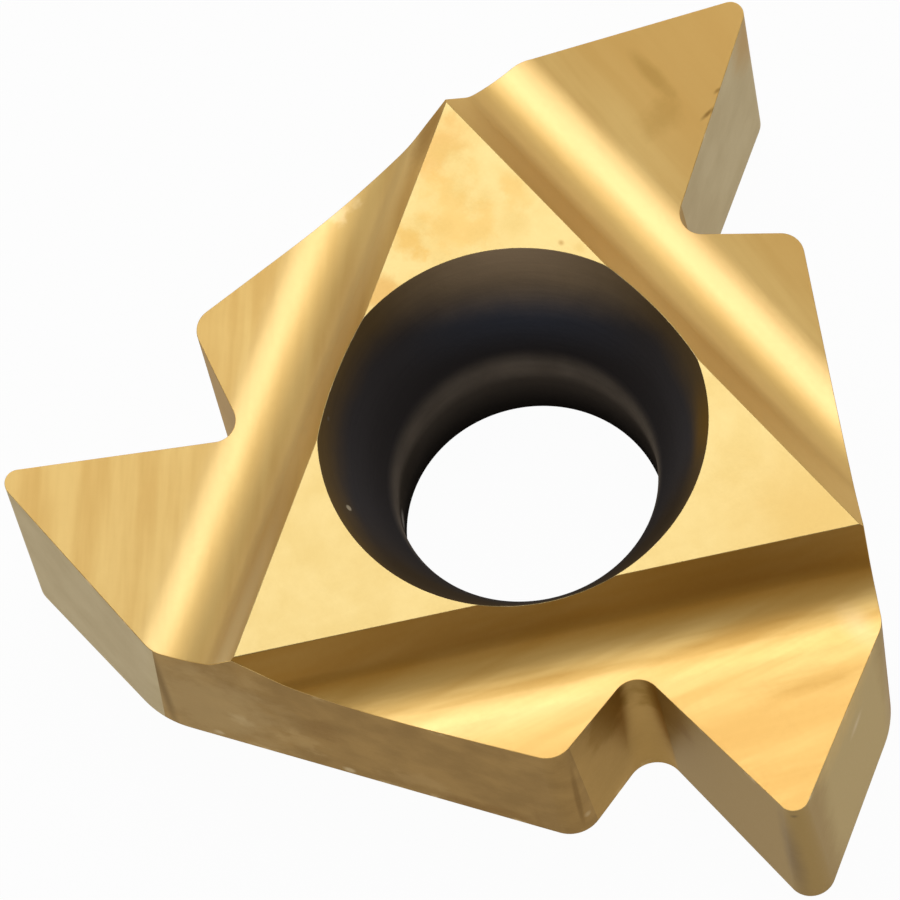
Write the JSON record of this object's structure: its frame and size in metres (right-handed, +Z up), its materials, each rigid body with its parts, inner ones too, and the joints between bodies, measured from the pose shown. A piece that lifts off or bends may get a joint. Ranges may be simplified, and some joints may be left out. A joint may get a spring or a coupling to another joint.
{
  "type": "threading insert",
  "caption": "Indexable laydown threading insert: a triangular plate with a sharp V tooth at each corner, ground chip grooves, a raised clamping platform and a countersunk screw hole.",
  "frame": {"origin": "on the bore axis, at the flat base", "axes": "+Z up the bore axis to the raised clamping platform, +Y along the first tooth, from the bore side to its tip, +X completes a right-handed frame"},
  "size_m": [0.0123, 0.0131, 0.0036],
  "materials": {
    "coated_carbide": "satin gold nitride coating over ground cemented carbide"
  },
  "bodies": {
    "root": {"threading_insert": "coated_carbide"}
  },
  "joints": []
}
